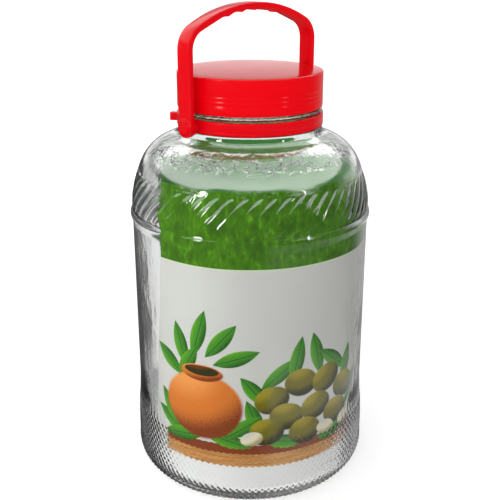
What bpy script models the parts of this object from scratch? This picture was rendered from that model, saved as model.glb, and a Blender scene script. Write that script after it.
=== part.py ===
"""A large wide-mouth glass storage jar: glass body, screw lid, collar ring, swinging carry handle and a
rolled paper insert that leans on the inside of the glass.

Metres, +Z up. The jar stands on Z = 0 with its axis on Z, and the handle swings about pins that lie along X.
"""

import math

import bmesh
import bpy
from mathutils import Matrix, Vector

# Driving dimensions of the glass, in metres
RIM_Z = 0.3375
RIM_EDGE = 0.0012
MOUTH_R = 0.0508
MOUTH_FLARE = 0.0022
FINISH_R = 0.0543
BEAD_R = 0.0573
BEAD_Z = 0.3096
BEAD_HALF = 0.0018
SEAT_R = 0.0556
NECK_R = 0.0578
NECK_FOOT = (0.0600, 0.2893)
NECK_BOTTOM_Z = 0.2925
NECK_INSIDE_Z = 0.2876
SEAT_TOP_Z = 0.3073
SEAT_BOTTOM_Z = 0.2966
DOME_CENTRE = (0.0560, 0.2520)
DOME_SEMI_R = 0.0358
DOME_SEMI_Z = 0.0370
DOME_START = 77
DOME_INSIDE_START = 83
LEDGE_Z = 0.2670
LEDGE_INSET = 0.0014
LEDGE_DROP = (0.0008, 0.0030)
BAND_TOP_Z = 0.2605
BAND_BOTTOM_Z = 0.2315
BAND_TOP_R = 0.0916
BAND_BOTTOM_R = 0.0973
BAND_POWER = 1.7
RIDGE_R = 0.0984
RIDGE_Z = 0.2262
RIDGE_SHAPE = ((-0.0005, 0.0028), (0.0, 0.0), (-0.0006, -0.0030))
RIDGE_FOOT = 0.0065
BODY_R = 0.09675
FOOT_BAND_TOP_Z = 0.0770
FOOT_BAND_STEP = (0.0006, 0.0024)
FOOT_FLARE = ((0.09765, 0.0580), (0.0985, 0.0400))
FOOT_R = 0.0990
HEEL_R = 0.0190
HEEL_START = 12
BEARING_INNER_R = 0.0715
PUNT_R = 0.0650
PUNT_Z = 0.0025
WALL = 0.0036
BASE_INSIDE_Z = 0.0078
HEEL_INSIDE_R = 0.0140

# Slanted ribs of the band
RIB_COUNT = 54
RIB_ROWS = 5
RIB_LEAN = math.radians(16.0)
RIB_HEIGHT = 0.0011
RIB_GAP = 0.0024

# Lid, collar ring and handle
LID_R = 0.0578
LID_TOP_Z = 0.3400
LID_BOTTOM_Z = 0.3118
LID_WALL = 0.0018
LID_EDGE = 0.0022
LID_GROOVE_Z = (0.3262, 0.3228, 0.3194)
LID_GROOVE_DEPTH = 0.00035
LID_GROOVE_HALF = 0.0008
RING_R = 0.0584
RING_BORE_R = 0.0559
RING_TOP_Z = 0.3072
RING_BOTTOM_Z = 0.2970
RING_EDGE = 0.0012
RING_TOP_EDGE = 0.0004
PIVOT_Z = 0.3019
PIN_R = 0.0048
PIN_START_X = 0.0571
PIN_END_X = 0.0699
FLANGE_R = 0.0064
FLANGE_X = (0.0605, 0.0628)
LUG_ANGLE = math.radians(129.0)
LUG_REACH = (0.0572, 0.0650)
LUG_Z = (0.2976, 0.3042)
LUG_THICKNESS = 0.0056
STRAP_WIDTH = 0.0133
STRAP_THICKNESS = 0.0048
STRAP_BEVEL = 0.0008
BEVEL_LIMIT = math.radians(60.0)
ARM_X = 0.0682
HANDLE_TOP_Z = 0.3903
CROWN_R = 0.1240
CORNER_R = 0.0200
GRIP_PITCH = 0.01375
GRIP_SCALLOPS = 5
GRIP_CUSP = 0.0013
EYE_R = 0.0074
EYE_X = (0.0631, 0.0688)
EYE_RIM_R = 0.0059
EYE_RIM_X = (0.0641, 0.0696)
EYE_BORE_R = 0.0051
EYE_BORE_X = (0.0591, 0.0736)

# Paper insert
PAPER_GAP = 0.0006
PAPER_LEAN_GAP = 0.0008
PAPER_THICKNESS = 0.0004
PAPER_BOTTOM_Z = 0.0240
PAPER_BEND_Z = 0.2192
PAPER_LEAN_Z = (BAND_BOTTOM_Z, 0.2410, 0.2500, 0.2580)
PAPER_START = math.radians(176.0)
PAPER_ARC = math.radians(273.0)
PAPER_STEPS = 42

TURN_STEPS = RIB_COUNT
PIN_SIDES = 24
EYE_SIDES = 28
GLASS_SHARP = math.radians(28.0)
PLASTIC_SHARP = math.radians(35.0)
MERGE = 0.00001


def clear_scene():
    for thing in list(bpy.data.objects):
        bpy.data.objects.remove(thing, do_unlink=True)


def new_collection(name):
    collection = bpy.data.collections.new(name)
    bpy.context.scene.collection.children.link(collection)
    return collection


def new_material(name, colour, roughness, transmission=0.0):
    material = bpy.data.materials.new(name)
    material.use_nodes = True
    shader = material.node_tree.nodes["Principled BSDF"]
    shader.inputs["Base Color"].default_value = (*colour, 1.0)
    shader.inputs["Roughness"].default_value = roughness
    shader.inputs["Metallic"].default_value = 0.0
    shader.inputs["Transmission Weight"].default_value = transmission
    return material


def arc(centre, radii, start, end, count):
    """Points on an ellipse's arc, with the angles in degrees and both ends included."""
    points = []
    for step in range(count):
        angle = math.radians(start + (end - start) * step / (count - 1))
        points.append((centre[0] + radii[0] * math.cos(angle), centre[1] + radii[1] * math.sin(angle)))
    return points


def band_radius(z):
    """Radius of the band's rib crests at a height."""
    share = max(0.0, (z - BAND_BOTTOM_Z) / (BAND_TOP_Z - BAND_BOTTOM_Z))
    return BAND_BOTTOM_R - (BAND_BOTTOM_R - BAND_TOP_R) * share**BAND_POWER


def band_heights():
    step = (BAND_BOTTOM_Z - BAND_TOP_Z) / RIB_ROWS
    return [BAND_TOP_Z + step * row for row in range(RIB_ROWS + 1)]


def dome_angle(z, semi_z):
    return math.degrees(math.asin((z - DOME_CENTRE[1]) / semi_z))


def outer_profile():
    """The jar's outside from the mouth's rim down to the middle of the underside."""
    points = [(FINISH_R - RIM_EDGE, RIM_Z), (FINISH_R, RIM_Z - RIM_EDGE)]
    points += arc((FINISH_R, BEAD_Z), (BEAD_R - FINISH_R, BEAD_HALF), 90, -90, 5)
    points += [(SEAT_R, SEAT_TOP_Z), (SEAT_R, SEAT_BOTTOM_Z), (NECK_R, SEAT_BOTTOM_Z)]
    points += [(NECK_R, NECK_BOTTOM_Z), NECK_FOOT]
    dome_end = dome_angle(LEDGE_Z, DOME_SEMI_Z)
    points += arc(DOME_CENTRE, (DOME_SEMI_R, DOME_SEMI_Z), DOME_START, dome_end, 7)
    points += [(BAND_TOP_R - LEDGE_INSET, LEDGE_Z - LEDGE_DROP[0]), (BAND_TOP_R, LEDGE_Z - LEDGE_DROP[1])]
    points += [(band_radius(z) - RIB_HEIGHT, z) for z in band_heights()]
    points += [(RIDGE_R + out, RIDGE_Z + up) for out, up in RIDGE_SHAPE]
    points += [(BODY_R, RIDGE_Z - RIDGE_FOOT), (BODY_R, FOOT_BAND_TOP_Z)]
    points += [(BODY_R + FOOT_BAND_STEP[0], FOOT_BAND_TOP_Z - FOOT_BAND_STEP[1])]
    points += FOOT_FLARE
    points += arc((FOOT_R - HEEL_R, HEEL_R), (HEEL_R, HEEL_R), HEEL_START, -90, 8)
    points += [(BEARING_INNER_R, 0.0), (PUNT_R, PUNT_Z), (0.0, PUNT_Z)]
    return points


def inner_profile():
    """The jar's inside from the middle of its floor up to the mouth's rim."""
    inside = BODY_R - WALL
    points = [(0.0, BASE_INSIDE_Z)]
    heel = (inside - HEEL_INSIDE_R, BASE_INSIDE_Z + HEEL_INSIDE_R)
    points += arc(heel, (HEEL_INSIDE_R, HEEL_INSIDE_R), -90, 0, 6)
    points += [(inside, RIDGE_Z - RIDGE_FOOT)]
    points += [(band_radius(z) - RIB_HEIGHT - WALL, z) for z in reversed(band_heights()[::2])]
    semi = (DOME_SEMI_R - WALL, DOME_SEMI_Z - WALL)
    start = dome_angle(LEDGE_Z - LEDGE_DROP[1], semi[1])
    points += arc(DOME_CENTRE, semi, start, DOME_INSIDE_START, 6)
    points += [(MOUTH_R + MOUTH_FLARE, NECK_INSIDE_Z), (MOUTH_R, NECK_BOTTOM_Z)]
    points += [(MOUTH_R, RIM_Z - RIM_EDGE), (MOUTH_R + RIM_EDGE, RIM_Z)]
    return points


def profile_object(name, points, collection, closed=False):
    mesh = bpy.data.meshes.new(name)
    shape = bmesh.new()
    verts = [shape.verts.new((r, 0.0, z)) for r, z in points]
    for first, second in zip(verts, verts[1:]):
        shape.edges.new((first, second))
    if closed:
        shape.edges.new((verts[-1], verts[0]))
    shape.to_mesh(mesh)
    shape.free()
    made = bpy.data.objects.new(name, mesh)
    collection.objects.link(made)
    return made


def add_screw(made, steps, angle=2 * math.pi):
    screw = made.modifiers.new("Turn", "SCREW")
    screw.axis = "Z"
    screw.angle = angle
    screw.steps = steps
    screw.render_steps = steps
    screw.use_merge_vertices = True
    screw.merge_threshold = MERGE
    screw.use_smooth_shade = True
    return screw


def finish(made, material, sharp=PLASTIC_SHARP):
    made.data.materials.clear()
    made.data.materials.append(material)
    made.data.shade_smooth()
    made.data.set_sharp_from_angle(angle=sharp)


def applied(made, collection):
    """Replaces an object by one whose mesh has the modifiers and the placing worked in."""
    bpy.context.view_layer.update()
    graph = bpy.context.evaluated_depsgraph_get()
    mesh = bpy.data.meshes.new_from_object(made.evaluated_get(graph))
    mesh.transform(made.matrix_world)
    shape = bmesh.new()
    shape.from_mesh(mesh)
    bmesh.ops.remove_doubles(shape, verts=shape.verts, dist=MERGE)
    shape.to_mesh(mesh)
    shape.free()
    name = made.name
    bpy.data.objects.remove(made, do_unlink=True)
    done = bpy.data.objects.new(name, mesh)
    collection.objects.link(done)
    return done


def boolean(made, other, operation):
    modifier = made.modifiers.new(other.name, "BOOLEAN")
    modifier.operation = operation
    modifier.solver = "EXACT"
    modifier.object = other


def helper(made):
    made.hide_render = True
    made.display_type = "WIRE"
    return made


def cylinder_x(name, radius, reach, z, sides, collection):
    """A cylinder along X between two distances from the jar's axis, at a height."""
    mesh = bpy.data.meshes.new(name)
    shape = bmesh.new()
    bmesh.ops.create_cone(
        shape,
        cap_ends=True,
        segments=sides,
        radius1=radius,
        radius2=radius,
        depth=abs(reach[1] - reach[0]),
        matrix=Matrix.Translation(((reach[0] + reach[1]) / 2, 0.0, z)) @ Matrix.Rotation(math.pi / 2, 4, "Y"),
    )
    shape.to_mesh(mesh)
    shape.free()
    made = bpy.data.objects.new(name, mesh)
    collection.objects.link(made)
    return helper(made)


def lean_share(z):
    """How much of the ribs' lean a level has: none under the band, all of it above."""
    return min(1.0, max(0.0, (z - BAND_BOTTOM_Z) / (BAND_TOP_Z - BAND_BOTTOM_Z)))


def lean_levels(shape):
    """Turns each level of the glass by its share of the lean, so that the band's columns slant."""
    for vert in shape.verts:
        vert.co.rotate(Matrix.Rotation(RIB_LEAN * lean_share(vert.co.z), 3, "Z"))


def raise_ribs(shape):
    """Lifts one long pad in each slanted column of the band."""
    columns = {}
    for face in shape.faces:
        centre = face.calc_center_median()
        outside = math.hypot(centre.x, centre.y) > band_radius(centre.z) - RIB_HEIGHT - WALL / 2
        if outside and BAND_BOTTOM_Z < centre.z < BAND_TOP_Z:
            angle = math.atan2(centre.y, centre.x) - RIB_LEAN * lean_share(centre.z)
            column = math.floor(angle % (2 * math.pi) / (2 * math.pi) * RIB_COUNT)
            columns.setdefault(column, []).append(face)
    for column in sorted(columns):
        bmesh.ops.inset_region(
            shape,
            faces=columns[column],
            thickness=RIB_GAP,
            depth=RIB_HEIGHT,
            use_even_offset=True,
            use_boundary=True,
        )


def make_jar(collection, material):
    jar = profile_object("glass_jar", inner_profile() + outer_profile(), collection)
    add_screw(jar, TURN_STEPS)
    jar = applied(jar, collection)
    shape = bmesh.new()
    shape.from_mesh(jar.data)
    lean_levels(shape)
    raise_ribs(shape)
    shape.to_mesh(jar.data)
    shape.free()
    finish(jar, material, GLASS_SHARP)
    return jar


def lid_profile():
    points = [(0.0, LID_TOP_Z)]
    points += arc((LID_R - LID_EDGE, LID_TOP_Z - LID_EDGE), (LID_EDGE, LID_EDGE), 90, 0, 4)
    for z in LID_GROOVE_Z:
        points += [(LID_R, z + LID_GROOVE_HALF), (LID_R - LID_GROOVE_DEPTH, z), (LID_R, z - LID_GROOVE_HALF)]
    inner_r = LID_R - LID_WALL
    ceiling = LID_TOP_Z - LID_WALL
    points += [(LID_R, LID_BOTTOM_Z), (inner_r, LID_BOTTOM_Z), (inner_r, ceiling), (0.0, ceiling)]
    return points


def make_lid(collection, material):
    lid = profile_object("screw_lid", lid_profile(), collection)
    add_screw(lid, TURN_STEPS)
    finish(lid, material)
    return lid


def ring_profile():
    points = [(RING_BORE_R, RING_TOP_Z), (RING_R - RING_TOP_EDGE, RING_TOP_Z), (RING_R, RING_TOP_Z - RING_TOP_EDGE)]
    points += arc((RING_R - RING_EDGE, RING_BOTTOM_Z + RING_EDGE), (RING_EDGE, RING_EDGE), 0, -90, 4)
    points += [(RING_BORE_R, RING_BOTTOM_Z)]
    return points


def make_lug(collection):
    """The clasp that closes the ring, a small block standing out from it."""
    mesh = bpy.data.meshes.new("ring_lug")
    shape = bmesh.new()
    size = Vector((LUG_REACH[1] - LUG_REACH[0], LUG_THICKNESS, LUG_Z[1] - LUG_Z[0]))
    middle = Vector((sum(LUG_REACH) / 2, 0.0, sum(LUG_Z) / 2))
    bmesh.ops.create_cube(
        shape,
        size=1.0,
        matrix=Matrix.Rotation(LUG_ANGLE, 4, "Z") @ Matrix.Translation(middle) @ Matrix.Diagonal((*size, 1.0)),
    )
    shape.to_mesh(mesh)
    shape.free()
    made = bpy.data.objects.new("ring_lug", mesh)
    collection.objects.link(made)
    return helper(made)


def make_ring(collection, helpers, material):
    ring = profile_object("collar_ring", ring_profile(), collection, closed=True)
    add_screw(ring, TURN_STEPS)
    ring = applied(ring, collection)
    boolean(ring, make_lug(helpers), "UNION")
    for side in (-1, 1):
        pin = (side * PIN_START_X, side * PIN_END_X)
        flange = (side * FLANGE_X[0], side * FLANGE_X[1])
        boolean(ring, cylinder_x("pin_tool", PIN_R, pin, PIVOT_Z, PIN_SIDES, helpers), "UNION")
        boolean(ring, cylinder_x("flange_tool", FLANGE_R, flange, PIVOT_Z, PIN_SIDES, helpers), "UNION")
    finish(ring, material)
    return ring


def grip_drop(across):
    """How far the finger grip's pointed ribs stand down from the plain strap at a place across it."""
    if abs(across) > GRIP_PITCH * GRIP_SCALLOPS / 2:
        return 0.0
    return GRIP_CUSP * (1 - abs(math.sin(math.pi * across / GRIP_PITCH)))


def strap_outline():
    """The handle's outline seen along Y, as X and Z, closed and without the eyes."""
    crown_z = HANDLE_TOP_Z - CROWN_R
    corner_x = ARM_X - CORNER_R
    reach = CROWN_R - CORNER_R
    corner_z = crown_z + math.sqrt(reach**2 - corner_x**2)
    tilt = math.degrees(math.asin(corner_x / reach))
    right = (corner_x, corner_z)
    left = (-corner_x, corner_z)
    outer = [(ARM_X, PIVOT_Z)]
    outer += arc(right, (CORNER_R, CORNER_R), 0, 90 - tilt, 6)
    outer += arc((0.0, crown_z), (CROWN_R, CROWN_R), 90 - tilt, 90 + tilt, 13)[1:-1]
    outer += arc(left, (CORNER_R, CORNER_R), 90 + tilt, 180, 6)
    outer += [(-ARM_X, PIVOT_Z)]
    inner_r = CORNER_R - STRAP_THICKNESS
    inner_crown = CROWN_R - STRAP_THICKNESS
    inner = [(-ARM_X + STRAP_THICKNESS, PIVOT_Z)]
    inner += arc(left, (inner_r, inner_r), 180, 90 + tilt, 6)
    steps = GRIP_SCALLOPS * 4
    for step in range(steps + 1):
        across = GRIP_PITCH * GRIP_SCALLOPS * (step / steps - 0.5)
        radius = inner_crown - grip_drop(across)
        inner.append((across, crown_z + math.sqrt(radius**2 - across**2)))
    inner += arc(right, (inner_r, inner_r), 90 - tilt, 0, 6)
    inner += [(ARM_X - STRAP_THICKNESS, PIVOT_Z)]
    return outer + inner


def make_strap(collection):
    curve = bpy.data.curves.new("carry_handle", "CURVE")
    curve.dimensions = "2D"
    curve.fill_mode = "BOTH"
    curve.extrude = STRAP_WIDTH / 2
    points = strap_outline()
    spline = curve.splines.new("POLY")
    spline.points.add(len(points) - 1)
    for point, (x, z) in zip(spline.points, points):
        point.co = (x, z - PIVOT_Z, 0.0, 1.0)
    spline.use_cyclic_u = True
    strap = bpy.data.objects.new("carry_handle", curve)
    strap.rotation_euler = (math.pi / 2, 0.0, 0.0)
    strap.location = (0.0, 0.0, PIVOT_Z)
    collection.objects.link(strap)
    strap = applied(strap, collection)
    bevel = strap.modifiers.new("Edges", "BEVEL")
    bevel.width = STRAP_BEVEL
    bevel.segments = 1
    bevel.limit_method = "ANGLE"
    bevel.angle_limit = BEVEL_LIMIT
    return strap


def make_handle(collection, helpers, material):
    handle = make_strap(collection)
    for side in (-1, 1):
        eye = (side * EYE_X[0], side * EYE_X[1])
        rim = (side * EYE_RIM_X[0], side * EYE_RIM_X[1])
        boolean(handle, cylinder_x("eye_tool", EYE_R, eye, PIVOT_Z, EYE_SIDES, helpers), "UNION")
        boolean(handle, cylinder_x("rim_tool", EYE_RIM_R, rim, PIVOT_Z, EYE_SIDES, helpers), "UNION")
    for side in (-1, 1):
        bore = (side * EYE_BORE_X[0], side * EYE_BORE_X[1])
        boolean(handle, cylinder_x("bore_tool", EYE_BORE_R, bore, PIVOT_Z, PIN_SIDES, helpers), "DIFFERENCE")
    handle = applied(handle, collection)
    handle.data.transform(Matrix.Translation((0.0, 0.0, -PIVOT_Z)))
    handle.location = (0.0, 0.0, PIVOT_Z)
    finish(handle, material)
    return handle


def paper_profile():
    """The insert's outer face, from its lower edge up: upright, then leaning in with the band's inside."""
    inside = BODY_R - WALL - PAPER_GAP
    points = [(inside, PAPER_BOTTOM_Z), (inside, PAPER_BEND_Z)]
    leaning = RIB_HEIGHT + WALL + PAPER_GAP + PAPER_LEAN_GAP
    points += [(band_radius(z) - leaning, z) for z in PAPER_LEAN_Z]
    return points


def make_paper(collection, material):
    paper = profile_object("paper_insert", list(reversed(paper_profile())), collection)
    paper.rotation_euler = (0.0, 0.0, PAPER_START)
    add_screw(paper, PAPER_STEPS, PAPER_ARC)
    thick = paper.modifiers.new("Sheet", "SOLIDIFY")
    thick.thickness = PAPER_THICKNESS
    thick.offset = -1.0
    thick.use_rim = True
    finish(paper, material)
    return paper


def main():
    clear_scene()
    parts = new_collection("glass_storage_jar")
    helpers = new_collection("cutters")
    helpers.hide_render = True
    glass = new_material("clear_glass", (0.93, 0.97, 0.95), 0.02, transmission=1.0)
    red = new_material("red_plastic", (0.86, 0.004, 0.008), 0.30)
    sheet = new_material("printed_paper", (0.20, 0.42, 0.10), 0.55)
    make_jar(parts, glass)
    make_lid(parts, red)
    make_ring(parts, helpers, red)
    make_handle(parts, helpers, red)
    make_paper(parts, sheet)


main()
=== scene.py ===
import math

import bmesh
import bpy
from mathutils import Matrix, Vector


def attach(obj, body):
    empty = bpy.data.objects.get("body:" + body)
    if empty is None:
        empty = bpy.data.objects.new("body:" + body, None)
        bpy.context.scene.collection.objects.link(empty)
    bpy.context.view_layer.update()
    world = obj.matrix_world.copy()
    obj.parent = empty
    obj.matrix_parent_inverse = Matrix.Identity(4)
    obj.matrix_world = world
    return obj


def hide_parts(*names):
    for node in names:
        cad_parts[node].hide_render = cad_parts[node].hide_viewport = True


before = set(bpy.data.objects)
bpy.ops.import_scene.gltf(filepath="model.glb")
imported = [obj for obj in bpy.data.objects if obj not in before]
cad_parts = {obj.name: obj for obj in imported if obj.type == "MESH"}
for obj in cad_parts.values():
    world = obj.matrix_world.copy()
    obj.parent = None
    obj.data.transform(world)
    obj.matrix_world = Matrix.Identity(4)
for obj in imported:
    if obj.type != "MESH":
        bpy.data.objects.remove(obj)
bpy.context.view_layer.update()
print("frame loaded:", ", ".join(sorted(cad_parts)))

mergeDistance = 0.00001  # metres; points nearer than this become one
mm = 0.001


def arcPoints(centre, radii, start, end, count):
    # points on an ellipse's arc in the r-z plane, angles in degrees, both ends included
    made = []
    for step in range(count):
        angle = math.radians(start + (end - start) * step / (count - 1))
        made.append((centre[0] + radii[0] * math.cos(angle), centre[1] + radii[1] * math.sin(angle)))
    return made


def linePoints(first, last, count):
    # evenly spaced points from first to last, leaving out first
    return [tuple(a + (b - a) * step / count for a, b in zip(first, last)) for step in range(1, count + 1)]


def curvePoints(start, corner, end, count):
    # a smooth bend that leaves start and reaches end along the lines through corner
    made = []
    for step in range(1, count + 1):
        share = step / count
        weights = ((1 - share) ** 2, 2 * share * (1 - share), share ** 2)
        made.append(tuple(sum(w * v for w, v in zip(weights, values)) for values in zip(start, corner, end)))
    return made


def smoothStep(low, high, value):
    share = min(1.0, max(0.0, (value - low) / (high - low)))
    return share * share * (3 - 2 * share)


def spinProfile(bm, points, steps, closed=False, angle=2 * math.pi, start=0.0):
    # turns an r-z outline about Z
    verts = [bm.verts.new((r * math.cos(start), r * math.sin(start), z)) for r, z in points]
    edges = [bm.edges.new(pair) for pair in zip(verts, verts[1:])]
    if closed:
        edges.append(bm.edges.new((verts[-1], verts[0])))
    bmesh.ops.spin(bm, geom=verts + edges, cent=(0, 0, 0), axis=(0, 0, 1), angle=angle, steps=steps,
                   use_merge=angle >= 2 * math.pi)
    bmesh.ops.remove_doubles(bm, verts=bm.verts, dist=mergeDistance)
    bmesh.ops.recalc_face_normals(bm, faces=bm.faces)


def cylinderAlongX(bm, radius, fromX, toX, z, sides, edge):
    # a cylinder about a line along X at height z, with its rims rounded by edge, or sharp where that is 0
    middle = Matrix.Translation(((fromX + toX) / 2, 0, z)) @ Matrix.Rotation(math.pi / 2, 4, "Y")
    made = bmesh.ops.create_cone(bm, cap_ends=True, segments=sides, radius1=radius, radius2=radius,
                                 depth=abs(toX - fromX), matrix=middle)
    if edge:
        rims = [e for e in bm.edges if e.verts[0] in made["verts"] and e.verts[1] in made["verts"]
                and abs(e.verts[0].co.x - e.verts[1].co.x) < mergeDistance]
        bmesh.ops.bevel(bm, geom=rims, offset=edge, segments=3, profile=0.5, affect="EDGES", material=-1)


def objectFrom(bm, name):
    mesh = bpy.data.meshes.new(name)
    bm.to_mesh(mesh)
    bm.free()
    made = bpy.data.objects.new(name, mesh)
    bpy.context.scene.collection.objects.link(made)
    return made


def finishPiece(made, material, body, node, sharp=30):
    made.data.materials.clear()
    made.data.materials.append(material)
    made.data.shade_smooth()
    made.data.set_sharp_from_angle(angle=math.radians(sharp))
    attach(made, body)
    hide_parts(node)
    print("made", made.name, "with", len(made.data.polygons), "faces")
    return made


def bakedModifiers(made):
    # the object's mesh with its modifiers worked in
    bpy.context.view_layer.update()
    graph = bpy.context.evaluated_depsgraph_get()
    mesh = bpy.data.meshes.new_from_object(made.evaluated_get(graph))
    made.modifiers.clear()
    made.data = mesh
    return made


def joinAndCut(made, added, removed):
    for tool, operation in [(a, "UNION") for a in added] + [(r, "DIFFERENCE") for r in removed]:
        step = made.modifiers.new(tool.name, "BOOLEAN")
        step.operation = operation
        step.solver = "EXACT"
        step.object = tool
    bakedModifiers(made)
    for tool in added + removed:
        bpy.data.objects.remove(tool, do_unlink=True)


class Wire:
    # one output of a node; Python's operators on it add Math nodes
    def __init__(self, recipe, socket):
        self.recipe = recipe
        self.socket = socket

    def __add__(self, other):
        return self.recipe.maths("ADD", self, other)

    def __radd__(self, other):
        return self.recipe.maths("ADD", other, self)

    def __sub__(self, other):
        return self.recipe.maths("SUBTRACT", self, other)

    def __rsub__(self, other):
        return self.recipe.maths("SUBTRACT", other, self)

    def __mul__(self, other):
        return self.recipe.maths("MULTIPLY", self, other)

    def __rmul__(self, other):
        return self.recipe.maths("MULTIPLY", other, self)

    def __abs__(self):
        return self.recipe.maths("ABSOLUTE", self)

    def least(self, other):
        return self.recipe.maths("MINIMUM", self, other)

    def most(self, other):
        return self.recipe.maths("MAXIMUM", self, other)

    def wrap(self, low, high):
        return self.recipe.maths("WRAP", self, high, low)

    def ease(self, low, high, start=0.0, end=1.0):
        # a smooth step from start at low to end at high
        return self.recipe.node("ShaderNodeMapRange", {"interpolation_type": "SMOOTHSTEP"}, {
            "Value": self, "From Min": low, "From Max": high, "To Min": start, "To Max": end})


class Recipe:
    # the nodes of a material or a world
    def __init__(self, owner):
        owner.use_nodes = True
        self.owner = owner
        self.tree = owner.node_tree

    def feed(self, socket, value):
        if isinstance(value, Wire):
            self.tree.links.new(value.socket, socket)
        elif socket.type == "RGBA":
            socket.default_value = (*value, 1.0)
        else:
            socket.default_value = value

    def node(self, kind, settings=None, sockets=None, output=0):
        made = self.tree.nodes.new(kind)
        for key, value in (settings or {}).items():
            setattr(made, key, value)
        for key, value in (sockets or {}).items():
            self.feed(made.inputs[key], value)
        return Wire(self, made.outputs[output])

    def maths(self, operation, first, second=0.0, third=0.0):
        return self.node("ShaderNodeMath", {"operation": operation}, {0: first, 1: second, 2: third})

    def split(self, vector):
        # the three numbers of a vector
        parts = self.tree.nodes.new("ShaderNodeSeparateXYZ")
        self.feed(parts.inputs[0], vector)
        return [Wire(self, socket) for socket in parts.outputs]

    def set(self, **sockets):
        shader = self.tree.nodes["Principled BSDF"]
        for key, value in sockets.items():
            self.feed(shader.inputs[key.replace("_", " ")], value)

    def vector(self, operation, first, second=(0, 0, 0), output=0):
        return self.node("ShaderNodeVectorMath", {"operation": operation}, {0: first, 1: second}, output)

    def mix(self, share, first, second):
        return self.node("ShaderNodeMix", {"data_type": "RGBA"}, {0: share, 6: first, 7: second}, 2)

    def blend(self, share, first, second):
        return first + (second - first) * share

    def noise(self, place, scale, detail=2.0, rough=0.5):
        return self.node("ShaderNodeTexNoise", {}, {"Vector": place, "Scale": scale, "Detail": detail,
                                                    "Roughness": rough})

    def place(self):
        return self.node("ShaderNodeTexCoord", output="Object")

    def stretch(self, place, shares):
        return self.node("ShaderNodeMapping", {}, {"Vector": place, "Scale": shares})

    def bump(self, height, distance, strength=1.0):
        return self.node("ShaderNodeBump", {}, {"Height": height, "Distance": distance, "Strength": strength})


def toLinear(red, green, blue):
    # a colour from its 0 to 255 screen values, by the standard curve of screens
    shares = [value / 255 for value in (red, green, blue)]
    return tuple(s / 12.92 if s <= 0.04045 else ((s + 0.055) / 1.055) ** 2.4 for s in shares)


camera = dict(
    azimuth=-44.0, distance=0.67227, height=0.43208,  # where it stands: degrees round, metres off and up
    aimZ=0.18783,  # the height on the jar's axis that it looks at
    lens=60.75,
)


def makeCamera():
    data = bpy.data.cameras.new("viewer")
    data.lens = camera["lens"]
    data.clip_start = 0.01
    made = bpy.data.objects.new("viewer", data)
    bpy.context.scene.collection.objects.link(made)
    turn = math.radians(camera["azimuth"])
    reach = camera["distance"]
    made.location = (reach * math.sin(turn), -reach * math.cos(turn), camera["height"])
    made.rotation_euler = (Vector((0, 0, camera["aimZ"])) - made.location).to_track_quat("-Z", "Y").to_euler()
    bpy.context.scene.camera = made


def aroundJar(middle, azimuth, elevation, distance):
    # a place round the jar's middle, with azimuth measured from the camera's side, to its right
    turn = math.radians(camera["azimuth"] + azimuth)
    lift = math.radians(elevation)
    out = Vector((math.sin(turn) * math.cos(lift), -math.cos(turn) * math.cos(lift), math.sin(lift)))
    return middle + out * distance


softboxMiddle = Vector((0, 0, 0.2))  # the point of the jar that the softboxes look at
softboxes = dict(
    # degrees round and up from there, metres off, width, height, brightness
    leftKey=(-46, 14, 1.15, 0.15, 0.24, 26.0),
    rightKey=(54, 16, 1.25, 0.06, 0.24, 22.0),
)


def makeSoftbox(name, azimuth, elevation, distance, width, height, brightness):
    data = bpy.data.lights.new(name, "AREA")
    data.shape = "RECTANGLE"
    data.size = width
    data.size_y = height
    data.energy = brightness * math.pi * width * height
    made = bpy.data.objects.new(name, data)
    bpy.context.scene.collection.objects.link(made)
    made.location = aroundJar(softboxMiddle, azimuth, elevation, distance)
    made.rotation_euler = (softboxMiddle - made.location).to_track_quat("-Z", "Y").to_euler()
    made.visible_camera = False
    made.visible_diffuse = False
    made.visible_transmission = False


background = dict(
    # what shows directly and through the glass; up, aside and away are shares of a ray's direction
    backdrop=1.0,              # the white backdrop
    backdropReach=(12, 13.5),  # degrees aside where it gives way to the surround
    repeat=45,                 # degrees; both come round again, so that the jar looks alike from each side
    left=0.075,                # the grey that edges of the glass find left of the backdrop
    right=0.45,                # and right of it
    sideBlur=0.1,              # radians over which the one becomes the other
    below=0.62,                # what the surround gains further down
    belowUp=(-0.42, -0.54),    # where it begins to, and where it has all of it
    above=0.04,                # the dark high above the backdrop
    aboveUp=(0.05, 0.35),      # where that begins and is whole
)


def behindGlass(recipe, aside, away, up):
    # the backdrop, a grey beside it that is lighter low down, and the dark above
    half = math.radians(background["repeat"] / 2)
    azimuth = recipe.maths("ARCTAN2", aside, away).wrap(-half, half)
    beside = abs(azimuth).ease(*[math.radians(angle) for angle in background["backdropReach"]])
    blur = background["sideBlur"]
    surround = azimuth.ease(-blur, blur, background["left"], background["right"])
    surround = surround + up.ease(*background["belowUp"]) * background["below"]
    level = recipe.blend(beside, background["backdrop"], surround)
    return recipe.blend(up.ease(*background["aboveUp"]), level, background["above"])


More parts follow.
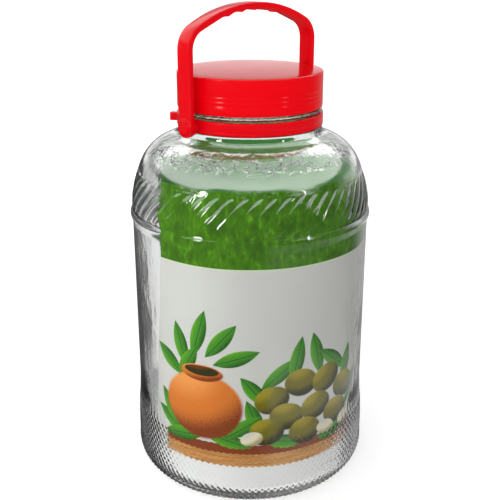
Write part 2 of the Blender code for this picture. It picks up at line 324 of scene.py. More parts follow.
mirrors = dict(
    # what shiny surfaces find; "behind" is away from the camera
    low=1.30,                  # just above the horizon behind
    high=0.5,                  # and higher behind
    lowUp=(-0.05, 0.02),       # where that bright strip begins, from below
    lowAway=(-0.1, 0.5),       # and from the front
    highUp=(0.07, 0.24),       # where it grows darker
    front=0.11,                # the walls in front, low down
    behindLeft=0.080,          # the walls behind on the left, low down
    behindRight=0.38,          # the walls behind on the right, low down
    behindAside=(0.0, 0.2),    # where the one becomes the other
    wallsAway=(0.40, 0.70),    # and where the front walls become the ones behind
    below=0.14,                # steeply below
    belowUp=(-0.46, -0.62),
    belowRight=0.60,           # below on the right
    belowRightUp=(-0.40, -0.50),
    belowRightAside=(0.1, 0.4),
    skyFront=5.2,              # overhead, towards the camera
    skyBack=3.4,               # overhead, away from it
    skyAway=(-0.7, 0.6),       # where the one becomes the other
    skyLow=0.475,              # how high the sky begins straight in front
    skyBlur=0.04,              # how softly it begins
    skySides=0.15,             # how much lower it begins at the sides
    skySidesAside=(0.40, 0.90),
    skyTop=0.74,               # the share of its light that is left straight up
    skyTopUp=(0.62, 0.92),
)


def inMirrors(aside, away, up):
    # a bright strip low behind, a bright sky, dark walls and a grey floor
    strip = away.ease(*mirrors["lowAway"]) * up.ease(*mirrors["lowUp"])
    strip = strip * up.ease(*mirrors["highUp"], mirrors["low"], mirrors["high"])
    raised = up + abs(aside).ease(*mirrors["skySidesAside"]) * mirrors["skySides"]
    sky = raised.ease(mirrors["skyLow"] - mirrors["skyBlur"], mirrors["skyLow"] + mirrors["skyBlur"])
    sky = sky * up.ease(*mirrors["skyTopUp"], 1.0, mirrors["skyTop"])
    sky = sky * away.ease(*mirrors["skyAway"], mirrors["skyFront"], mirrors["skyBack"])
    behind = aside.ease(*mirrors["behindAside"], mirrors["behindLeft"], mirrors["behindRight"])
    walls = away.ease(*mirrors["wallsAway"], mirrors["front"], behind)
    below = up.ease(*mirrors["belowUp"]) * mirrors["below"]
    onRight = up.ease(*mirrors["belowRightUp"]) * aside.ease(*mirrors["belowRightAside"])
    below = below.most(onRight * mirrors["belowRight"])
    return strip.most(sky).most(walls).most(below)


fill = dict(
    # light on matt surfaces
    left=1.15,                 # from the left
    right=0.64,                # and from the right
    leftAside=(-0.5, 1.0),     # where it goes from the one to the other
    front=0.70,                # how much more from the front
    frontAway=(-0.3, -1.0),
    top=0.42,                  # and how much less from above
)


def onMattSurfaces(aside, away, up):
    # an even light that is stronger from the left and the front
    level = aside.ease(*fill["leftAside"], fill["left"], fill["right"]) - up * fill["top"]
    return level + away.ease(*fill["frontAway"]) * fill["front"]


def makeWorld():
    world = bpy.data.worlds.new("studio")
    bpy.context.scene.world = world
    world.cycles.sampling_method = "NONE"
    recipe = Recipe(world)
    look = recipe.node("ShaderNodeTexCoord", output="Generated")
    turned = recipe.node("ShaderNodeMapping", {"vector_type": "TEXTURE"},
                         {"Vector": look, "Rotation": (0, 0, math.radians(camera["azimuth"]))})
    aside, away, up = recipe.split(turned)
    kinds = dict(
        Transmission=behindGlass(recipe, aside, away, up),
        Glossy=inMirrors(aside, away, up),
        Diffuse=onMattSurfaces(aside, away, up),
    )
    level = background["backdrop"]
    for name, kind in kinds.items():
        depth = recipe.node("ShaderNodeLightPath", output=name + " Depth")
        level = recipe.blend(depth.least(1.0), level, kind)
    back = recipe.tree.nodes["Background"]
    recipe.feed(back.inputs["Color"], (1.0, 1.0, 1.0))
    recipe.feed(back.inputs["Strength"], level)


floorLook = dict(
    radius=60.0, sides=96,
    dark=(0.955, 0.955, 0.955), light=(0.975, 0.975, 0.975), patch=6.0,  # faint cloudiness
    roughness=0.9,
    glow=0.38,  # light of its own, so that it is as white as the backdrop
)


def makeFloor():
    recipe = Recipe(bpy.data.materials.new("paleFloor"))
    cloud = recipe.noise(recipe.place(), floorLook["patch"], 3.0)
    recipe.set(
        Base_Color=recipe.mix(cloud, floorLook["dark"], floorLook["light"]),
        Roughness=floorLook["roughness"],
        Emission_Color=(1.0, 1.0, 1.0),
        Emission_Strength=floorLook["glow"],
    )
    bm = bmesh.new()
    bmesh.ops.create_circle(bm, cap_ends=True, segments=floorLook["sides"], radius=floorLook["radius"])
    floor = objectFrom(bm, "floor")
    floor.data.materials.append(recipe.owner)
    floor.visible_glossy = False
    floor.visible_transmission = False


jar = dict(
    # metres; R is a radius from the jar's axis and Z a height
    rimZ=0.3375, rimEdge=0.0012, mouthR=0.0508, finishR=0.0543, finishLowZ=0.3250,
    beadR=0.0573, beadZ=0.3096, beadHalf=0.0018,
    seatR=0.0556, seatTopZ=0.3073, seatBottomZ=0.2966,
    neckR=0.0578, neckBottomZ=0.2926, neckInsideR=0.0540, neckInsideZ=0.2945,
    domeCentre=(0.0560, 0.2520), domeSemi=(0.0358, 0.0370), domeStart=77, domeInsideR=0.0548,
    ledgeZ=0.2670, bandTopZ=0.2605, bandBottomZ=0.2315, bandTopR=0.0916, bandBottomR=0.0973, bandPower=1.7,
    ridgeR=0.0984, ridgeZ=0.2262,
    ridge=(  # the ridge's outline, as steps in from its radius and up from its height
        (0.0012, 0.0034), (0.0005, 0.0021), (0.0001, 0.0012),
        (0.0, -0.0002), (0.0002, -0.0018), (0.0008, -0.0036),
    ),
    bodyR=0.09675, bodyMiddleZ=0.1500,
    footTopZ=0.0770, footR=0.0990, heelR=0.0190, heelStart=12,
    bearingR=0.0715, puntR=0.0650, puntZ=0.0025, puntMiddleR=0.0300,
    wall=0.0036, floorZ=0.0078, floorMiddleR=0.0350, heelInsideR=0.0100,
    sectors=6, steps=96,  # one sector is spun in this many steps, and then repeated
)

ribs = dict(
    count=54, start=math.radians(0.0), lean=math.radians(16.0), height=0.00065,
    halfWidth=0.0047, halfLength=0.0150, taper=0.0095,
    crown=2.4, shoulder=1.2,  # powers that round the pad's top and its foot
    rows=26,
)

dots = dict(
    round=120, height=0.00078, hollow=-0.15,  # hollow is how far it goes in between them, as a share
    rowPitch=0.0033, rowParts=3, topZ=0.0600, middleZ=0.0400,
    topOut=0.0009, middleIn=0.0005,  # how far the foot is wider than the body there, and narrower than below
    parts=(20, 20, 60),  # points on the upper part, the lower part and the heel, before they are evened out
    lastAngle=-62,       # degrees round the heel to the last row
)


def bandShare(z):
    # how far up the ribbed band a height is
    return max(0.0, (z - jar["bandBottomZ"]) / (jar["bandTopZ"] - jar["bandBottomZ"]))


def bandRadius(z):
    return jar["bandBottomR"] - (jar["bandBottomR"] - jar["bandTopR"]) * bandShare(z) ** jar["bandPower"]


def domeAngle(z, semiZ):
    return math.degrees(math.asin((z - jar["domeCentre"][1]) / semiZ))


def footPath():
    # the foot and heel from the top row of dots down, as evenly spaced points
    upper, lower, onHeel = dots["parts"]
    centre = (jar["footR"] - jar["heelR"], jar["heelR"])
    heel = arcPoints(centre, (jar["heelR"],) * 2, jar["heelStart"], dots["lastAngle"], onHeel)
    path = [(jar["bodyR"] + dots["topOut"], dots["topZ"])]
    path += linePoints(path[0], (jar["footR"] - dots["middleIn"], dots["middleZ"]), upper)
    path += linePoints(path[-1], heel[0], lower)
    path += heel[1:]
    gap = dots["rowPitch"] / dots["rowParts"]
    even, travelled, wanted = [path[0]], 0.0, gap
    for first, second in zip(path, path[1:]):
        length = math.dist(first, second)
        while travelled + length >= wanted:
            share = (wanted - travelled) / length
            even.append(tuple(a + (b - a) * share for a, b in zip(first, second)))
            wanted += gap
        travelled += length
    return even


def outsideProfile():
    j = jar
    points = arcPoints((j["finishR"] - j["rimEdge"], j["rimZ"] - j["rimEdge"]), (j["rimEdge"],) * 2, 90, 0, 4)
    points += [(j["finishR"], j["finishLowZ"]), (j["finishR"], j["beadZ"] + j["beadHalf"] + 0.0004)]
    points += arcPoints((j["finishR"], j["beadZ"]), (j["beadR"] - j["finishR"], j["beadHalf"]), 80, -80, 8)
    points += [(j["seatR"], j["seatTopZ"]), (j["seatR"], j["seatBottomZ"]), (j["neckR"], j["seatBottomZ"])]
    points += [(j["neckR"], j["neckBottomZ"])]
    domeEnd = domeAngle(j["ledgeZ"], j["domeSemi"][1])
    dome = arcPoints(j["domeCentre"], j["domeSemi"], j["domeStart"], domeEnd, 20)
    points += curvePoints(points[-1], (j["neckR"] + 0.0021, dome[0][1] + 0.0010), dome[0], 8)
    points += dome[1:]
    top, bottom = j["bandTopZ"] + 0.0006, j["bandBottomZ"] - 0.0002
    ledge = (j["bandTopR"] - ribs["height"], top)
    points += curvePoints(dome[-1], (ledge[0] - 0.0010, j["ledgeZ"] - 0.0027), ledge, 8)
    rows = linePoints((top, 0), (bottom, 0), ribs["rows"])
    points += [(bandRadius(z) - ribs["height"], z) for z, _ in rows]
    points += [(j["ridgeR"] - inwards, j["ridgeZ"] + up) for inwards, up in j["ridge"]]
    points += [(j["bodyR"] + 0.0003, j["ridgeZ"] - 0.0055), (j["bodyR"], j["ridgeZ"] - 0.0075)]
    points += [(j["bodyR"], j["bodyMiddleZ"]), (j["bodyR"], j["footTopZ"] + 0.0040)]
    points += [(j["bodyR"] + 0.0001, j["footTopZ"]), (j["bodyR"] + 0.0004, j["footTopZ"] - 0.0050)]
    return points + [(j["bodyR"] + 0.0007, dots["topZ"] + 0.0060)]


def undersideProfile():
    j = jar
    heel = (j["footR"] - j["heelR"], j["heelR"])
    points = arcPoints(heel, (j["heelR"],) * 2, dots["lastAngle"] - 6, -90, 5)
    points += [(j["bearingR"], 0.0), (j["bearingR"] - 0.0020, 0.0004), (j["puntR"], j["puntZ"])]
    return points + [(j["puntMiddleR"], j["puntZ"]), (0.0, j["puntZ"])]


def insideProfile():
    j = jar
    inside = j["bodyR"] - j["wall"]
    points = [(0.0, j["floorZ"]), (j["floorMiddleR"], j["floorZ"])]
    heel = (inside - j["heelInsideR"], j["floorZ"] + j["heelInsideR"])
    points += arcPoints(heel, (j["heelInsideR"],) * 2, -90, 0, 9)
    points += [(inside, 0.1000), (inside, j["ridgeZ"] - 0.0065)]
    for share in range(7):
        z = j["bandBottomZ"] + (j["bandTopZ"] - j["bandBottomZ"]) * share / 6
        points.append((bandRadius(z) - ribs["height"] - j["wall"], z))
    centre = (j["domeInsideR"], j["domeCentre"][1])
    semi = (j["domeCentre"][0] + j["domeSemi"][0] - j["wall"] - centre[0], j["domeSemi"][1] - j["wall"])
    low = domeAngle(j["ledgeZ"] - 0.003, semi[1])
    points += arcPoints(centre, semi, low, j["domeStart"], 18)
    corner = (j["neckInsideR"], points[-1][1] + 0.0022)
    points += curvePoints(points[-1], corner, (j["neckInsideR"], j["neckInsideZ"]), 12)
    points += [(j["neckInsideR"], j["neckInsideZ"] + 0.0040), (j["mouthR"], j["beadZ"] - 0.0020)]
    rim = (j["mouthR"] + j["rimEdge"], j["rimZ"] - j["rimEdge"])
    return points + arcPoints(rim, (j["rimEdge"],) * 2, 180, 90, 4)


def ribLift(across, z):
    # height of a rib's rounded pad at a share of the pitch from its middle line and a height
    width = 2 * math.pi * bandRadius(z) / ribs["count"]
    middle = (jar["bandTopZ"] + jar["bandBottomZ"]) / 2
    along = max(0.0, abs(z - middle) - (ribs["halfLength"] - ribs["taper"])) / ribs["taper"]
    reach = math.hypot(across * width / ribs["halfWidth"], along)
    return ribs["height"] * max(0.0, 1 - reach ** ribs["crown"]) ** ribs["shoulder"]


def dotLift(column, row):
    # height of the foot's dots at a column and a row, which count whole dots; the first row fades in
    fade = min(1.0, (row + 0.3) / 1.2)
    wave = math.cos(2 * math.pi * column) * math.cos(math.pi * row)
    return dots["height"] * max(dots["hollow"], wave) * fade


def makeJar(material):
    bm = bmesh.new()
    rowOf = bm.verts.layers.float.new("row")  # the row of dots that a point is in, and -1 elsewhere
    foot, under = footPath(), undersideProfile()
    points = insideProfile() + outsideProfile() + foot + under
    footEnd = len(points) - len(under)
    verts = [bm.verts.new((r, 0, z)) for r, z in points]
    for index, vert in enumerate(verts):
        row = (index - footEnd + len(foot)) / dots["rowParts"]
        vert[rowOf] = row if 0 <= row and index < footEnd else -1.0
    edges = [bm.edges.new(pair) for pair in zip(verts, verts[1:])]
    sector = 2 * math.pi / jar["sectors"]
    bmesh.ops.spin(bm, geom=verts + edges, cent=(0, 0, 0), axis=(0, 0, 1), angle=sector, steps=jar["steps"])
    bmesh.ops.remove_doubles(bm, verts=bm.verts, dist=mergeDistance)
    bmesh.ops.recalc_face_normals(bm, faces=bm.faces)
    bm.normal_update()
    for vert in bm.verts:
        turn = math.atan2(vert.co.y, vert.co.x) / (2 * math.pi)
        z = vert.co.z
        if vert[rowOf] >= 0:
            vert.co += vert.normal * dotLift(turn * dots["round"] + 0.25, vert[rowOf])
        elif jar["bandBottomZ"] < z < jar["bandTopZ"] and vert.co.xy.length > bandRadius(z) - jar["wall"]:
            across = turn * ribs["count"] % 1.0 - 0.5
            vert.co += vert.normal * ribLift(across, z)
        lean = ribs["lean"] * min(1.0, bandShare(z))
        vert.co.rotate(Matrix.Rotation(ribs["start"] + lean, 3, "Z"))
    bmesh.ops.spin(bm, geom=bm.verts[:] + bm.edges[:] + bm.faces[:], cent=(0, 0, 0), axis=(0, 0, 1),
                   angle=2 * math.pi - sector, steps=jar["sectors"] - 1, use_duplicate=True)
    bmesh.ops.remove_doubles(bm, verts=bm.verts, dist=mergeDistance)
    bmesh.ops.recalc_face_normals(bm, faces=bm.faces)
    return finishPiece(objectFrom(bm, "jarGlass"), material, "jar", "glass_jar", 50)


glass = dict(
    # the last colour here darkens the shoulder's fine lines, as painted reflection
    tint=(0.978, 0.984, 0.98), shadowTint=(0.95, 0.96, 0.955), squiggleShadeTint=(0.035, 0.040, 0.035),
    bend=1.50,                                   # index of refraction
    slowWave=0.45, streak=0.09, ragged=0.12,     # heights of the unevenness inside, in millimetres
    slowFine=28.0, streakFine=130.0, raggedFine=190.0,  # and how fine each is
    outerShare=0.15, outerZ=(0.232, 0.224),      # the mould leaves the body's outside smoother
    squiggle=0.02, squiggleFine=85.0,            # fine lines on the shoulder: a slight bump, with painted dark reflection lines
    squiggleZ=(0.2735, 0.2850), squiggleWidth=(0.022, 0.008),
    beadGrain=0.60, beadFine=420.0, beadZ=0.3070,  # the rough look of the bead, from this height up
)


def glassMaterial():
    recipe = Recipe(bpy.data.materials.new("clearJarGlass"))
    place = recipe.place()
    height = recipe.split(place)[2]
    radius = recipe.vector("LENGTH", recipe.vector("MULTIPLY", place, (1, 1, 0)), output=1)
    middleOfWall = jar["bodyR"] - jar["wall"] / 2
    outside = radius.ease(middleOfWall - 0.0005, middleOfWall + 0.0005) * height.ease(*glass["outerZ"])
    share = recipe.blend(outside, 1.0, glass["outerShare"])
    slow = recipe.noise(place, glass["slowFine"], 1.0) * glass["slowWave"]
    streak = recipe.noise(recipe.stretch(place, (1, 1, 0.12)), glass["streakFine"], 2.0) * glass["streak"]
    ragged = recipe.noise(recipe.stretch(place, (1, 1, 0.6)), glass["raggedFine"], 3.0, 0.6) * glass["ragged"]

    # thin wandering lines, where a noise passes its middle value; painted reflection: they are coloured dark
    # and half metallic to stand in for the glass's distorted reflections
    low, high = glass["squiggleZ"]
    edge = (high - low) / 4
    onShoulder = height.ease(low, low + edge) * height.ease(high, high - edge)
    wander = recipe.noise(recipe.stretch(place, (1, 1, 1.6)), glass["squiggleFine"], 3.0, 0.6)
    line = abs(wander - 0.5).ease(*glass["squiggleWidth"]) * onShoulder

    onBead = height.ease(glass["beadZ"], glass["beadZ"] + 0.001)
    grain = recipe.noise(place, glass["beadFine"], 2.0) * onBead * glass["beadGrain"]
    relief = (slow + streak + ragged) * share + line * glass["squiggle"] + grain
    recipe.set(
        # painted reflection: the shoulder's lines darken the glass's colour and turn it partly metallic
        Base_Color=recipe.mix(line, glass["tint"], glass["squiggleShadeTint"]),
        Metallic=line * 0.75,
        Roughness=0.0,
        IOR=glass["bend"],
        Transmission_Weight=1.0,
        Normal=recipe.bump(relief, mm),
    )
    clear = recipe.node("ShaderNodeBsdfTransparent", {}, {"Color": glass["shadowTint"]})
    shadow = recipe.node("ShaderNodeLightPath", output="Is Shadow Ray")
    solid = Wire(recipe, recipe.tree.nodes["Principled BSDF"].outputs[0])
    whole = recipe.node("ShaderNodeMixShader", {}, {0: shadow, 1: solid, 2: clear})
    recipe.feed(recipe.tree.nodes["Material Output"].inputs["Surface"], whole)
    return recipe.owner


lid = dict(
    radius=0.0578, topZ=0.3400, bottomZ=0.3118, wall=0.0018, edge=0.0012, lowerEdge=0.0005,
    grooveZ=(0.3262, 0.3228, 0.3194), grooveDepth=0.00013, grooveHalf=0.0008,
    groove=((1.3, 0), (0.7, 0.25), (0, 1), (-0.4, 0.6), (-0.7, 0)),  # shares of the half up, of the depth in
    crown=0.0006, crownPoints=8, steps=256,
)


def makeLid(material):
    r, top, edge = lid["radius"], lid["topZ"], lid["edge"]
    shares = [step / lid["crownPoints"] for step in range(lid["crownPoints"])]
    points = [(share * (r - edge), top - lid["crown"] * share ** 2) for share in shares]
    points += arcPoints((r - edge, top - lid["crown"] - edge), (edge, edge), 90, 0, 8)
    for z in lid["grooveZ"]:
        points += [(r - lid["grooveDepth"] * deep, z + lid["grooveHalf"] * up) for up, deep in lid["groove"]]
    low, rim = lid["bottomZ"], lid["lowerEdge"]
    points += arcPoints((r - rim, low + rim), (rim, rim), 0, -90, 4)
    inner = r - lid["wall"]
    points += [(inner, low), (inner, top - lid["wall"]), (0.0, top - lid["wall"])]
    bm = bmesh.new()
    spinProfile(bm, points, lid["steps"])
    return finishPiece(objectFrom(bm, "screwLid"), material, "jar", "screw_lid", 40)


collar = dict(
    radius=0.0584, boreR=0.0559, topZ=0.3072, bottomZ=0.2970, edge=0.0012, topEdge=0.0005,
    stepZ=0.3002, stepDepth=0.00025, steps=256,
    pivotZ=0.3019, pinR=0.0048, pinX=(0.0571, 0.0699), pinEdge=0.0007, pinSides=64,
    flangeR=0.0064, flangeX=(0.0605, 0.0628), flangeEdge=0.0004,
    lugAngle=math.radians(129.0), lugReach=(0.0572, 0.0650), lugZ=(0.2976, 0.3042),
    lugThickness=0.0056, lugEdge=0.0008,
)


def makeCollar(material):
    c = collar
    points = arcPoints((c["radius"] - c["topEdge"], c["topZ"] - c["topEdge"]), (c["topEdge"],) * 2, 90, 0, 4)
    points += [(c["radius"], c["stepZ"] + 0.0004), (c["radius"] - c["stepDepth"], c["stepZ"])]
    points += arcPoints((c["radius"] - c["edge"], c["bottomZ"] + c["edge"]), (c["edge"],) * 2, 0, -90, 7)
    points += [(c["boreR"], c["bottomZ"]), (c["boreR"], c["topZ"])]
    bm = bmesh.new()
    spinProfile(bm, points, c["steps"], closed=True)
    ring = objectFrom(bm, "collarRing")
    tools = []
    for side in (-1, 1):
        for name in ("pin", "flange"):
            bm = bmesh.new()
            near, far = [side * x for x in c[name + "X"]]
            cylinderAlongX(bm, c[name + "R"], near, far, c["pivotZ"], c["pinSides"], c[name + "Edge"])
            tools.append(objectFrom(bm, name + "Tool"))
    bm = bmesh.new()
    size = (c["lugReach"][1] - c["lugReach"][0], c["lugThickness"], c["lugZ"][1] - c["lugZ"][0], 1.0)
    spot = Matrix.Translation((sum(c["lugReach"]) / 2, 0, sum(c["lugZ"]) / 2))
    turned = Matrix.Rotation(c["lugAngle"], 4, "Z") @ spot
    bmesh.ops.create_cube(bm, size=1.0, matrix=turned @ Matrix.Diagonal(size))
    bmesh.ops.bevel(bm, geom=bm.edges[:], offset=c["lugEdge"], segments=3, profile=0.5, affect="EDGES",
                    material=-1)
    tools.append(objectFrom(bm, "lugTool"))
    joinAndCut(ring, tools, [])
    return finishPiece(ring, material, "jar", "collar_ring", 35)


handle = dict(
    width=0.0133, thickness=0.0048, edge=0.0009, armX=0.0682, topZ=0.3903, crownR=0.1240, cornerR=0.0200,
    gripPitch=0.01375, gripScallops=5, gripCusp=0.0013,
    cornerPoints=14, crownPoints=33, scallopPoints=10,
    eyeR=0.0074, eyeX=(0.0631, 0.0688), eyeEdge=0.0008,
    rimR=0.0059, rimX=(0.0641, 0.0696), rimEdge=0.0004,
    boreR=0.0051, boreX=(0.0591, 0.0736), boreEdge=0.0, eyeSides=72,
)


def gripDrop(across):
    # how far the finger grip's points stand down from the plain strap
    if abs(across) > handle["gripPitch"] * handle["gripScallops"] / 2:
        return 0.0
    return handle["gripCusp"] * (1 - abs(math.sin(math.pi * across / handle["gripPitch"])))


def strapOutline():
    # the handle seen along Y, as x and z
    h = handle
    crownZ = h["topZ"] - h["crownR"]
    cornerX = h["armX"] - h["cornerR"]
    reach = h["crownR"] - h["cornerR"]
    cornerZ = crownZ + math.sqrt(reach ** 2 - cornerX ** 2)
    tilt = math.degrees(math.asin(cornerX / reach))
    pivotZ = collar["pivotZ"]
    corner = (h["cornerR"],) * 2
    outer = [(h["armX"], pivotZ)]
    count = h["cornerPoints"]
    outer += arcPoints((cornerX, cornerZ), corner, 0, 90 - tilt, count)
    outer += arcPoints((0.0, crownZ), (h["crownR"],) * 2, 90 - tilt, 90 + tilt, h["crownPoints"])[1:-1]
    outer += arcPoints((-cornerX, cornerZ), corner, 90 + tilt, 180, count)
    outer += [(-h["armX"], pivotZ)]
    inside = (h["cornerR"] - h["thickness"],) * 2
    inner = [(-h["armX"] + h["thickness"], pivotZ)]
    inner += arcPoints((-cornerX, cornerZ), inside, 180, 90 + tilt, count)
    steps = h["gripScallops"] * h["scallopPoints"]
    for step in range(steps + 1):
        across = h["gripPitch"] * h["gripScallops"] * (step / steps - 0.5)
        radius = h["crownR"] - h["thickness"] - gripDrop(across)
        inner.append((across, crownZ + math.sqrt(radius ** 2 - across ** 2)))
    inner += arcPoints((cornerX, cornerZ), inside, 90 - tilt, 0, count)
    inner += [(h["armX"] - h["thickness"], pivotZ)]
    return outer + inner


def makeHandle(material):
    h = handle
    bm = bmesh.new()
    verts = [bm.verts.new((x, -h["width"] / 2, z)) for x, z in strapOutline()]
    edges = [bm.edges.new(pair) for pair in zip(verts, verts[1:] + verts[:1])]
    bmesh.ops.contextual_create(bm, geom=edges)
    pushed = bmesh.ops.extrude_face_region(bm, geom=bm.faces[:])
    moved = [v for v in pushed["geom"] if isinstance(v, bmesh.types.BMVert)]
    bmesh.ops.translate(bm, vec=(0, h["width"], 0), verts=moved)
    bmesh.ops.recalc_face_normals(bm, faces=bm.faces)
    rims = [e for e in bm.edges if abs(e.verts[0].co.y - e.verts[1].co.y) < mergeDistance]
    bmesh.ops.bevel(bm, geom=rims, offset=h["edge"], segments=3, profile=0.5, affect="EDGES", material=-1)
    strap = objectFrom(bm, "carryHandle")
    added, removed = [], []
    for side in (-1, 1):
        for name, tools in (("eye", added), ("rim", added), ("bore", removed)):
            bm = bmesh.new()
            near, far = [side * x for x in h[name + "X"]]
            cylinderAlongX(bm, h[name + "R"], near, far, collar["pivotZ"], h["eyeSides"], h[name + "Edge"])
            tools.append(objectFrom(bm, name + "Tool"))
    joinAndCut(strap, added, removed)
    return finishPiece(strap, material, "handle", "carry_handle", 35)


plastic = dict(
    lidRed=(0.84, 0.0005, 0.005), lidRoughness=0.15,
    partRed=(0.80, 0.0005, 0.006), partRoughness=0.20,
    darker=0.90,  # the share of the colour that is left in its darkest patches
    unevenness=0.08, grainDepth=0.00002, gloss=0.11,
)


def plasticMaterial(name, colour, roughness):
    recipe = Recipe(bpy.data.materials.new(name))
    place = recipe.place()
    blotch = recipe.noise(place, 35.0, 2.0)
    grain = recipe.noise(place, 900.0, 2.0)
    recipe.set(
        Base_Color=recipe.mix(blotch, colour, tuple(c * plastic["darker"] for c in colour)),
        Roughness=roughness + (blotch - 0.5) * plastic["unevenness"],
        IOR=1.50,
        Specular_IOR_Level=plastic["gloss"],
        Normal=recipe.bump(grain + blotch * 2.0, plastic["grainDepth"], 0.6),
    )
    return recipe.owner


paper = dict(
    gap=0.0006, leanGap=0.0008, thickness=0.0003, bottomZ=0.0165, topZ=0.2625,
    bend=0.0070,  # it begins to lean in this far below the ridge
    start=math.radians(176.0), arc=math.radians(288.0), steps=180, rows=16, upperRows=12,
    wave=0.0007, waveZ=(0.05, 0.25),  # how far the sheet stands off the glass in places, and where that grows
    slant=0.95, slantZ=0.145,  # radians of turn for each metre of height, from that height
    flare=0.155, flareZ=(0.208, 0.270),  # turn of the near edge's upper end
    flareReach=0.9,  # radians round the sheet over which that fades
    before=0.3,  # radians that its edges may reach back before its start
)

inks = dict(
    green=(0.062, 0.205, 0.002), darkGreen=(0.036, 0.118, 0.002), lightGreen=(0.125, 0.380, 0.012),
    # the pale back green is painted light, as if the sheet were lit through from behind
    backlitGreen=(0.090, 0.340, 0.075), white=(0.580, 0.575, 0.560), whiteFootPaintedLight=(0.76, 0.76, 0.75),
    line=(0.62, 0.72, 0.46),
    clay=toLinear(206, 116, 44), clayDark=toLinear(128, 58, 20), clayLight=toLinear(232, 156, 82),
    olive=toLinear(112, 104, 16), oliveDark=toLinear(48, 46, 10), oliveLight=toLinear(166, 150, 38),
    cream=toLinear(222, 214, 184), creamDark=toLinear(168, 156, 120),
    leaf=toLinear(70, 140, 40), leafDark=toLinear(28, 84, 22),
    wood=toLinear(206, 154, 92), woodDark=toLinear(168, 112, 56), stripe=toLinear(126, 58, 30),
)


def paperProfile():
    # the insert's outer face from its lower edge up
    inside = jar["bodyR"] - jar["wall"] - paper["gap"]
    bend = jar["ridgeZ"] - paper["bend"]
    points = [(inside, paper["bottomZ"])]
    points += linePoints(points[0], (inside, bend), paper["rows"])
    for step in range(1, paper["upperRows"] + 1):
        z = bend + (paper["topZ"] - bend) * step / paper["upperRows"]
        lean = bandRadius(z) - ribs["height"] - jar["wall"] - paper["gap"]
        points.append((min(inside, lean - paper["leanGap"] * smoothStep(bend, jar["bandBottomZ"], z)), z))
    return points


def makePaper(material):
    bm = bmesh.new()
    points = paperProfile()
    spinProfile(bm, points, paper["steps"], angle=paper["arc"], start=paper["start"])
    whole = 2 * math.pi
    for vert in bm.verts:
        turn = (math.atan2(vert.co.y, vert.co.x) - paper["start"]) % whole
        wave = math.sin(turn * 7.0 + 1.0) * math.sin(turn * 3.0) * 0.5 + 0.5
        pull = paper["wave"] * wave * smoothStep(*paper["waveZ"], vert.co.z)
        vert.co -= Vector((vert.co.x, vert.co.y, 0)).normalized() * pull
        flare = paper["flare"] * smoothStep(*paper["flareZ"], vert.co.z)
        flare = flare * (1 - smoothStep(0.0, paper["flareReach"], turn))
        lean = paper["slant"] * (vert.co.z - paper["slantZ"]) - flare
        vert.co.rotate(Matrix.Rotation(lean, 3, "Z"))
    sheet = bm.loops.layers.uv.new("sheet")  # metres along the sheet and up
    radius = points[0][0]
    for face in bm.faces:
        centre = face.calc_center_median()
        if face.normal.dot(Vector((centre.x, centre.y, 0))) < 0:
            face.normal_flip()
        for loop in face.loops:
            turn = math.atan2(loop.vert.co.y, loop.vert.co.x) - paper["start"] + paper["before"]
            loop[sheet].uv = ((turn % whole - paper["before"]) * radius, loop.vert.co.z)
    made = objectFrom(bm, "paperInsert")
    thick = made.modifiers.new("sheet", "SOLIDIFY")
    thick.thickness = paper["thickness"]
    thick.offset = -1.0
    bakedModifiers(made)
    return finishPiece(made, material, "jar", "paper_insert", 40)


drawing = dict(
    # the print; places along the sheet and up, half lengths and half widths in millimetres, turns in degrees
    greenFrom=206,              # the green field begins at this height
    repeat=235, before=12,      # the picture's length, and how much of it comes before its zero
    board=(37, 48), boardRim=(48, 56), boardReach=(6, 180),
    leafHalfWidth=6.5,
    leaves=(  # along, up, turn, half length
        (24, 138, 105, 20), (40, 150, 75, 22), (58, 146, 50, 20), (70, 132, 20, 20), (12, 122, 140, 17),
        (30, 124, 60, 18), (104, 118, 40, 20), (118, 128, 78, 21), (136, 130, 102, 20), (154, 120, 140, 20),
        (180, 86, 60, 19), (14, 66, 150, 20), (12, 78, 120, 19), (24, 58, 10, 20), (62, 60, 165, 22),
        (84, 80, 110, 18), (76, 72, 35, 18), (108, 58, 170, 19), (156, 56, 12, 20), (84, 104, 130, 17),
        (170, 110, 75, 18),
    ),
    pot=(42, 88, 35, 31), potNeck=(42, 117, 19, 7.5), potMouth=(42, 119, 15.5, 4.5),
    oliveHalves=(15, 12.5),
    olives=(  # along, up, turn
        (98, 96, 20), (122, 108, -12), (146, 106, 24), (168, 92, -20), (110, 80, -10), (136, 84, 12),
        (158, 72, -8), (94, 68, 12), (126, 64, -6),
    ),
    cloveHalves=(9.5, 6.5),
    cloves=((82, 62, 15), (146, 61, -12), (170, 61, 8)),
    softEdge=0.10,              # the share of a shape over which its colour fades out
)


def leafyGreen(recipe, spot, inner):
    # a mottled green, paler on the sheet's back, where painted light stands for light coming through the
    # paper
    strands = recipe.noise(recipe.stretch(spot, (2.2, 0.9, 1)), 110.0, 4.0, 0.65)
    clumps = recipe.noise(spot, 60.0, 3.0, 0.6)
    green = recipe.mix((strands * 0.6 + clumps * 0.4).ease(0.38, 0.60), inks["darkGreen"], inks["green"])
    bright = strands.ease(0.54, 0.68) * clumps.ease(0.42, 0.60)
    green = recipe.mix(bright * 0.9, green, inks["lightGreen"])
    return recipe.mix(inner, green, inks["backlitGreen"])


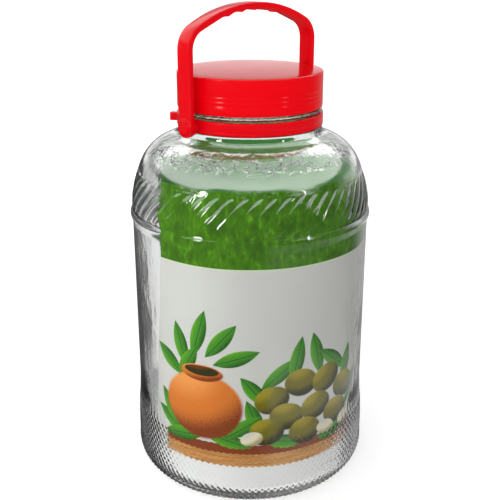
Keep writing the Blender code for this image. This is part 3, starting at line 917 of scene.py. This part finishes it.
def drawnPicture(recipe, spot, along, height, speck):
    # a board, leaves, a pot, olives and cloves, laid one over another on white
    picture = recipe.mix(speck * 0.10, inks["white"], inks["line"])
    # painted light: the sheet turns whiter below 50 mm, standing in for light that the glass dots scatter
    # onto it
    picture = recipe.mix(height.ease(0.050, 0.030), picture, inks["whiteFootPaintedLight"])
    across = along.wrap(-drawing["before"] * mm, (drawing["repeat"] - drawing["before"]) * mm)
    folded = recipe.node("ShaderNodeCombineXYZ", {}, {0: across, 1: height, 2: 0.0})

    def band(under, reach, colours):
        low, high = [z * mm for z in reach]
        left, right = [x * mm for x in drawing["boardReach"]]
        inside = height.ease(low - 0.0004, low) * height.ease(high + 0.0004, high)
        inside = inside * across.ease(left, left + 0.001) * across.ease(right, right - 0.001)
        grain = recipe.noise(recipe.stretch(spot, (0.15, 2.5, 1)), 220.0, 4.0, 0.6)
        return recipe.mix(inside, under, recipe.mix(grain.ease(0.35, 0.65), *colours))

    def shape(under, x, z, halfLong, halfShort, tilt, ink, leaf=False):
        # an oval or a pointed leaf, shaded from its ink's dark to its light
        dark, middle, light = ink
        place = recipe.node("ShaderNodeMapping", {"vector_type": "TEXTURE"}, {
            "Vector": folded, "Location": (x * mm, z * mm, 0), "Rotation": (0, 0, math.radians(tilt)),
            "Scale": (halfLong * mm, halfShort * mm, 1)})
        if leaf:
            lengthways, sideways, _ = recipe.split(place)
            reach = lengthways * lengthways + abs(sideways)
            shine = sideways * 0.5 + 0.5 - abs(sideways).ease(0.10, 0.0) * 0.5
        else:
            reach = recipe.vector("LENGTH", place, output=1)
            lit = recipe.vector("DOT_PRODUCT", place, (-0.25, 0.60, 0), 1)
            shine = lit + 0.62 - reach * reach * 0.30
        tone = recipe.mix((shine + (speck - 0.5) * 0.5).ease(0.0, 0.55), dark, middle)
        tone = recipe.mix((shine + (speck - 0.5) * 0.3).ease(0.62, 1.05), tone, light)
        return recipe.mix(reach.ease(1.0, 1.0 - drawing["softEdge"]), under, tone)

    leafInk = (inks["leafDark"], inks["leaf"], inks["lightGreen"])
    oliveInk = (inks["oliveDark"], inks["olive"], inks["oliveLight"])
    clayInk = (inks["clayDark"], inks["clay"], inks["clayLight"])
    mouthInk = (inks["oliveDark"], inks["oliveDark"], inks["clayDark"])
    creamInk = (inks["creamDark"], inks["cream"], inks["white"])
    picture = band(picture, drawing["board"], (inks["woodDark"], inks["wood"]))
    picture = band(picture, drawing["boardRim"], (inks["stripe"], inks["clayDark"]))
    for x, z, tilt, halfLong in drawing["leaves"]:
        picture = shape(picture, x, z, halfLong, drawing["leafHalfWidth"], tilt, leafInk, leaf=True)
    picture = shape(picture, *drawing["pot"], 0, clayInk)
    picture = shape(picture, *drawing["potNeck"], 0, clayInk)
    picture = shape(picture, *drawing["potMouth"], 0, mouthInk)
    for x, z, tilt in drawing["olives"]:
        picture = shape(picture, x, z, *drawing["oliveHalves"], tilt, oliveInk)
    for x, z, tilt in drawing["cloves"]:
        picture = shape(picture, x, z, *drawing["cloveHalves"], tilt, creamInk)
    return picture


def printMaterial():
    recipe = Recipe(bpy.data.materials.new("printedPaper"))
    spot = recipe.node("ShaderNodeUVMap", {"uv_map": "sheet"})
    along, height, _ = recipe.split(spot)
    speck = recipe.noise(spot, 700.0, 3.0, 0.6)
    soft = recipe.noise(spot, 90.0, 3.0, 0.55)
    outwards = recipe.vector("MULTIPLY", recipe.place(), (1, 1, 0))
    facing = recipe.node("ShaderNodeTexCoord", output="Normal")
    inner = recipe.vector("DOT_PRODUCT", outwards, facing, 1).ease(0.01, -0.01)
    picture = drawnPicture(recipe, spot, along, height, speck)
    picture = recipe.mix(inner * 0.82, picture, inks["white"])
    above = height - drawing["greenFrom"] * mm
    colour = recipe.mix(above.ease(-0.0011, -0.0007), picture, inks["line"])
    colour = recipe.mix(above.ease(-0.0002, 0.0002), colour, leafyGreen(recipe, spot, inner))
    recipe.set(
        Base_Color=colour,
        Roughness=0.7 + (soft - 0.5) * 0.1,
        Specular_IOR_Level=0.05,
        Normal=recipe.bump(speck, 0.00002, 0.5),
    )
    return recipe.owner


makeCamera()
makeWorld()
for name, box in softboxes.items():
    makeSoftbox(name, *box)
makeFloor()
print("studio ready")

lidRed = plasticMaterial("redLidPlastic", plastic["lidRed"], plastic["lidRoughness"])
partRed = plasticMaterial("redStrapPlastic", plastic["partRed"], plastic["partRoughness"])
makeJar(glassMaterial())
makeLid(lidRed)
makeCollar(partRed)
makeHandle(partRed)
makePaper(printMaterial())

bpy.context.scene.view_settings.view_transform = "Standard"
